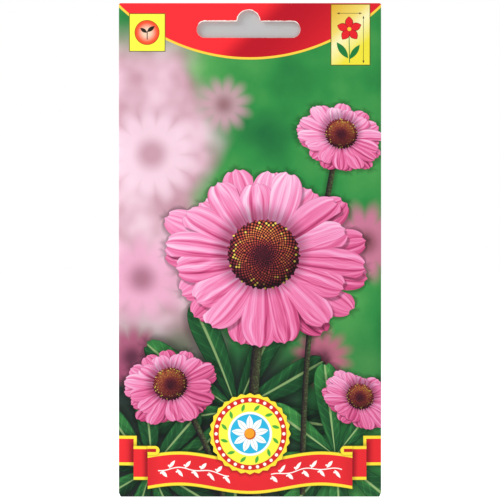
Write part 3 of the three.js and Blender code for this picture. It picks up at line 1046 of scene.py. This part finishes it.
def glue_material():
    """Dried white paper glue: a cloudy, faintly yellow film with the marks of its roller."""
    material, tree, shader = surface("glue_film", 0.3, 0.5)
    x, drop = on_paper(tree)
    cloud = blotches(tree, 3, detail=3)
    ink = lay("efe9d2", "ddd3ae", cloud.rise(0.35, 0.7))
    drive(shader, "Base Color", ink)
    emboss(shader, (drop * 2.2 + cloud * 3).sin() * 0.004 + cloud * 0.01)
    return material


cut_edge = bare_paper("cut_edge", "faf8f3", 0.85)
inner_paper = bare_paper("inner_paper", "eeebe3", 0.75)
front_print = coated_paper("front_print", draw_front)
back_print = coated_paper("back_print", draw_back)
flap_print = coated_paper("flap_print", draw_flap)
glue_film = glue_material()
FINISHES = [cut_edge, inner_paper, front_print, back_print, flap_print, glue_film]
CUT, INNER, FRONT, BACK, FLAP, GLUED = range(6)

# The sheet's shape, folded but still flat, and then filled: the pouch tree swells its faces by
# the rule that the solid follows, lets the seeds press through, and puckers it along the folds.
PAPER, GLUE, CLEARANCE = 0.12, 0.05, 0.02
SIDE_FLAP, BOTTOM_FLAP, FLAP_TAPER = 10.8, 13, 3.6
HEADER_SEAL = 15
BACK_INSET, CORNER_LEAN, FOLD_LEAN = 1, 0.4, 0.2
BOTTOM_FOLD_DEPTH = 0.3
GLUE_INSET = 0.8
RAMP_GAP, RAMP_LENGTH = 0.2, 1.5
CELL = 1.0  # of the modelled sheet, about as wide as high

layer = PAPER + GLUE + 2 * CLEARANCE
fold_radius = layer / 2
fold_x = width / 2 - fold_radius - PAPER / 2
pocket_top = top - HEADER_SEAL
pocket_bottom = bottom + PAPER / 2 + BOTTOM_FOLD_DEPTH
back_bottom = bottom + BACK_INSET
back_reach = width / 2 - BACK_INSET
flap_free = width / 2 - SIDE_FLAP
ramp_end = flap_free - RAMP_GAP
ramp_start = ramp_end - RAMP_LENGTH
flap_top = bottom + BOTTOM_FLAP
corner_reach = width / 2 - CORNER_LEAN
SEED_TOUCH = 0.12  # a gap at which a seed has pushed the paper out in full
COCKLE_SIZE = 24


def waves(place):
    """Soft noise from 0 to 1 in a geometry tree, at a place that is a vector."""
    return step(place, "ShaderNodeTexNoise", {"Vector": place, "Scale": 1.0, "Detail": 1.0})


def pouch_tree(values):
    """Moves the flat pouch's layers out by the swell, the seeds' bumps and the puckers."""
    kinds = {label: "Object" if label == "Seeds" else "Float" for label in values}
    tree, (mesh, *numbers, seed_object) = tree_for("pouch", kinds)
    (swell, swell_rise, swell_close, fold, start, end, half_gap, bump_height, bump_reach,
     pucker_height, pucker_reach, pucker_length, cockle_height, middle_x, seed) = numbers
    place = step(mesh, "GeometryNodeInputPosition", {})
    x_metres, y_metres, z_metres = parts_of(place)
    x, z = x_metres / MM - middle_x, z_metres / MM
    side = y_metres.math("SIGN")
    down = ((start - z) / (start - end)).over(0).under(1)
    fullest_down = (swell_rise / (swell_rise + swell_close)) ** (1 / swell_close)
    fullest = fullest_down**swell_rise * (1 - fullest_down**swell_close)
    crosswise = (1 - (x / fold) * (x / fold)).over(0)
    swollen = swell * crosswise * down**swell_rise * (1 - down**swell_close) / fullest
    heap = step(mesh, "GeometryNodeObjectInfo", {"Object": seed_object}, output=4)
    face = vector(tree, x_metres, side * (half_gap + swollen) * MM, z_metres)
    gap = step(
        mesh, "GeometryNodeProximity", {"Geometry": heap, "Sample Position": face}, output=1
    ) / MM
    bump = bump_height * gap.rise(bump_reach, SEED_TOUCH)
    near = ((fold - abs(x)) / pucker_reach).over(0)
    which = side * 4 + x.math("SIGN") * 9 + seed
    wave = waves(vector(tree, x * 0.02, z / pucker_length, which))
    pucker = pucker_height * (wave - 0.5) * 2 * near * (1 - near).math("EXPONENT")
    slow = waves(vector(tree, x / COCKLE_SIZE, z / COCKLE_SIZE, side * 7 + seed))
    cockle = cockle_height * (slow - 0.5) * 2 * near.under(1)
    ease = (down * 6).under((1 - down) * 30).under(1)
    out = side * (swollen + ease * (bump + pucker + cockle))
    inputs = {"Geometry": mesh, "Offset": vector(tree, 0.0, out * MM, 0.0)}
    finish_tree(step(mesh, "GeometryNodeSetPosition", inputs), FINISHES)
    return tree


pouch_values = {
    "Swell": 1.86,
    "Swell Rise": 1.5,
    "Swell Close": 14.0,
    "Fold X": fold_x,
    "Pocket Top": pocket_top,
    "Pocket Bottom": pocket_bottom,
    "Layer Half Gap": fold_radius,
    "Bump Height": 0.13,
    "Bump Reach": 1.0,
    "Pucker Height": 0.12,
    "Pucker Reach": 5.0,
    "Pucker Length": 9.0,
    "Cockle Height": 0.04,
    "Middle X": middle,
    "Seed": 3.0,
    "Seeds": seeds,
}
pouch = pouch_tree(pouch_values)


def back_y(x):
    """Depth of the flat back panel, which climbs over the side flap's free edge."""
    over_flap = min(1.0, max(0.0, (x - ramp_start) / (ramp_end - ramp_start)))
    return fold_radius + layer * over_flap


def cells_between(columns, rows, corner_at, finish):
    """Cells of a sheet between neighbouring columns and rows, each with its outer finish."""
    grid = [[corner_at(column, row) for row in rows] for column in columns]
    for i in range(1, len(columns)):
        for j in range(1, len(rows)):
            yield (grid[i - 1][j], grid[i][j], grid[i][j - 1], grid[i - 1][j - 1]), finish


def thick_sheet(name, cells, thickness, inner, rim):
    """A closed mesh from cells on a sheet's middle surface; corners are a place and a normal.
    The faces on the normals' side have the cells' finishes; inner and rim are the others."""
    numbers, vertices, faces, finishes, edges = {}, [], [], [], {}

    def number_of(corner):
        key = tuple(round(value, 3) + 0.0 for value in corner[:3])
        if key not in numbers:
            numbers[key] = len(numbers)
            place, normal = Vector(corner[:3]), Vector(corner[3:]).normalized()
            for side in (1, -1):
                vertices.append(place + normal * side * thickness / 2)
        return numbers[key]

    for cell, finish in cells:
        ring = [number_of(corner) for corner in cell]
        faces.append([2 * i for i in ring])
        finishes.append(finish)
        faces.append([2 * i + 1 for i in reversed(ring)])
        finishes.append(inner)
        for i, j in zip(ring, ring[1:] + ring[:1]):
            if edges.pop((j, i), None) is None:
                edges[i, j] = True
    for i, j in edges:
        faces.append([2 * i, 2 * i + 1, 2 * j + 1, 2 * j])
        finishes.append(rim)
    mesh = mesh_of(name, vertices, faces)
    note(mesh, "finish", [float(number) for number in finishes], where="FACE")
    mesh.shade_smooth()
    return add_object(name, mesh)


def spaced(start, end, step_length):
    """Places from start to end, evenly spaced at about a step's length."""
    count = max(1, round(abs(end - start) / step_length))
    return [float(value) for value in np.linspace(start, end, count + 1)]


def joined(*runs):
    """Runs of places end to end, each place once."""
    places = []
    for run in runs:
        places += [value for value in run if not places or value != places[-1]]
    return places


def at(x, y, z, *normal):
    """A corner of the sheet: its place in the frame, and its normal."""
    return (x + middle, y, z, *normal)


fold_steps = spaced(0, math.pi, math.pi / 6)
mid_columns = joined(
    spaced(-back_reach, ramp_start, CELL),
    spaced(ramp_start, ramp_end, CELL / 2),
    spaced(ramp_end, flap_free, CELL),
    spaced(flap_free, back_reach, CELL),
)
front_columns = [-fold_x, *mid_columns[1:-1], fold_x]
back_columns = [back_reach, *mid_columns[-2:0:-1], -fold_x]
side_flap_columns = [fold_x, *[x for x in mid_columns[-2:0:-1] if x >= flap_free]]
panel_rows = joined(
    spaced(top, pocket_top, CELL),
    spaced(pocket_top, flap_top, CELL),
    spaced(flap_top, back_bottom, CELL),
)
flap_rows = [row for row in panel_rows if row <= flap_top]


def edge_at(x, reach):
    """The outermost column moves to reach; the others stay."""
    return math.copysign(reach, x) if abs(x) == fold_x else x


def front_at(x, z):
    return at(x, -fold_radius, z, 0, -1, 0)


def back_at(x, z):
    return at(x, back_y(x), z, 0, 1, 0)


def side_flap_at(x, z):
    return at(x, fold_radius, z, 0, 1, 0)


def low_front_at(x, z):
    return front_at(x if z == back_bottom else edge_at(x, corner_reach), z)


def bottom_fold_at(x, turn):
    reach = (back_y(x) + layer + fold_radius) / 2
    y = reach * (1 - math.cos(turn)) - fold_radius
    z = pocket_bottom - BOTTOM_FOLD_DEPTH * math.sin(turn)
    x = edge_at(x, corner_reach - FOLD_LEAN * math.sin(turn))
    return at(x, y, z, 0, -BOTTOM_FOLD_DEPTH * math.cos(turn), -reach * math.sin(turn))


def bottom_flap_at(x, z):
    taper = FLAP_TAPER * (z - pocket_bottom) / BOTTOM_FLAP
    return at(edge_at(x, corner_reach - taper), back_y(x) + layer, z, 0, 1, 0)


def side_fold(side):
    """Half turn from the front round to the layer behind it, at one side."""

    def fold_at(turn, z):
        out, back = side * math.sin(turn), -math.cos(turn)
        return at(side * fold_x + fold_radius * out, fold_radius * back, z, out, back, 0)

    return cells_between(fold_steps[::side], panel_rows, fold_at, FRONT)


flap_run = [pocket_bottom, *flap_rows[::-1]]
sheet_cells = [
    *cells_between(front_columns, panel_rows, front_at, FRONT),
    *side_fold(-1),
    *side_fold(1),
    *cells_between(back_columns, panel_rows, back_at, BACK),
    *cells_between(side_flap_columns, panel_rows, side_flap_at, INNER),
    *cells_between(front_columns, [back_bottom, pocket_bottom], low_front_at, FRONT),
    *cells_between(front_columns, fold_steps, bottom_fold_at, FRONT),
    *cells_between(front_columns, flap_run, bottom_flap_at, FLAP),
]
packet = thick_sheet("packet_sheet", sheet_cells, PAPER, INNER, CUT)
grow(packet, pouch, pouch_values)


# The punch: the slot is cut through the glued header in one stroke. A worn die leaves its edge
# slightly ragged, with a nick or two along the upper left.
OUTLINE_STEP, RAGGED, NICK, PUNCH_REACH = 0.4, 0.035, 0.3, 3


def slot_outline():
    """Points round the slot, in X and Z, with the die's small raggedness."""
    end, end_radius = (SLOT_LENGTH - SLOT_HEIGHT) / 2, SLOT_HEIGHT / 2
    fillet_x = math.sqrt((HUMP_RADIUS + SLOT_FILLET) ** 2 - SLOT_FILLET**2)
    lean = math.asin(SLOT_FILLET / (HUMP_RADIUS + SLOT_FILLET))
    quarter = math.pi / 2
    edge = -HUMP_RADIUS
    arcs = [
        (end, edge - end_radius, end_radius, -quarter, quarter, 16),
        (fillet_x, edge + SLOT_FILLET, SLOT_FILLET, -quarter, lean - math.pi, 5),
        (0, edge, HUMP_RADIUS, lean, math.pi - lean, 22),
        (-fillet_x, edge + SLOT_FILLET, SLOT_FILLET, -lean, -quarter, 5),
        (-end, edge - end_radius, end_radius, quarter, 3 * quarter, 16),
    ]
    corners = []
    for x, z, radius, start, stop, steps in arcs:
        for turn in np.linspace(start, stop, steps + 1):
            corners.append(Vector((x + radius * math.cos(turn), 0, z + radius * math.sin(turn))))
    points = []
    for here, there in zip(corners, corners[1:] + corners[:1]):
        if (there - here).length < 1e-6:
            continue
        steps = max(1, round((there - here).length / OUTLINE_STEP))
        points += [here.lerp(there, i / steps) for i in range(steps)]
    ragged = []
    for point in points:
        jitter = noise.noise_vector(point * 1.7) * RAGGED
        jitter.y = 0
        nick = NICK * max(0.0, noise.noise(point * 0.9 + Vector((0, 3, 0))) - 0.2)
        upper_left = point.x < -2 and point.z > edge - 0.5
        ragged.append(point + jitter + Vector((0, 0, nick if upper_left else 0)))
    return ragged


def punch_slot(piece):
    """Cuts the slot through a piece, with the cut's white core on its walls."""
    outline = slot_outline()
    count = len(outline)
    vertices = [(p.x, y, p.z) for y in (-PUNCH_REACH, PUNCH_REACH) for p in outline]
    faces = [list(range(count)), list(range(2 * count - 1, count - 1, -1))]
    for i in range(count):
        j = (i + 1) % count
        faces.append([i, i + count, j + count, j])
    mesh = mesh_of("punch", vertices, faces)
    mesh.materials.append(cut_edge)
    punch = add_object("punch", mesh)
    cut = piece.modifiers.new("punch", "BOOLEAN")
    cut.object, cut.operation, cut.solver = punch, "DIFFERENCE", "EXACT"
    cut.material_mode = "TRANSFER"
    keep_result(piece)
    bpy.data.objects.remove(punch)


punch_slot(packet)
packet.data.set_sharp_from_angle(angle=math.radians(40))
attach(packet, "root")
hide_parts("packet_paper")

# Glue: thin roller-laid films of dried white glue. Two lie in the pocket's seams and follow its
# swell; the header's two are flat, as the frame has them, and take the same finish.
SEAM_INSET_X, SEAM_END_X, LOW_GLUE_REACH = 30, 38.2, 34
seam_columns = joined(
    spaced(SEAM_END_X, LOW_GLUE_REACH, CELL), spaced(LOW_GLUE_REACH, SEAM_INSET_X, CELL)
)
seam_bottom = back_bottom + GLUE_INSET
seam_rows = joined(spaced(top - GLUE_INSET, pocket_top, CELL), spaced(pocket_top, seam_bottom, CELL))
low_flap_columns = joined(
    spaced(LOW_GLUE_REACH, ramp_end, CELL),
    spaced(ramp_end, ramp_start, CELL / 2),
    spaced(ramp_start, -LOW_GLUE_REACH, CELL),
)
low_flap_rows = spaced(flap_top - GLUE_INSET, seam_bottom, CELL)


def seam_at(x, z):
    return at(x, fold_radius + layer / 2, z, 0, 1, 0)


def low_flap_glue_at(x, z):
    return at(x, back_y(x) + layer / 2, z, 0, 1, 0)


for node, columns, rows, corner_at in (
    ("side_seam_glue", seam_columns, seam_rows, seam_at),
    ("bottom_flap_glue", low_flap_columns, low_flap_rows, low_flap_glue_at),
):
    cells = cells_between(columns, rows, corner_at, GLUED)
    film = thick_sheet(node + "_film", cells, GLUE, GLUED, GLUED)
    grow(film, pouch, pouch_values)
    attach(film, "root")
    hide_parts(node)
for node in ("header_glue", "header_flap_glue"):
    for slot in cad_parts[node].material_slots:
        slot.material = glue_film

size = {"cad": [list(v) for v in cad_box], "visual": [list(v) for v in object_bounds()]}
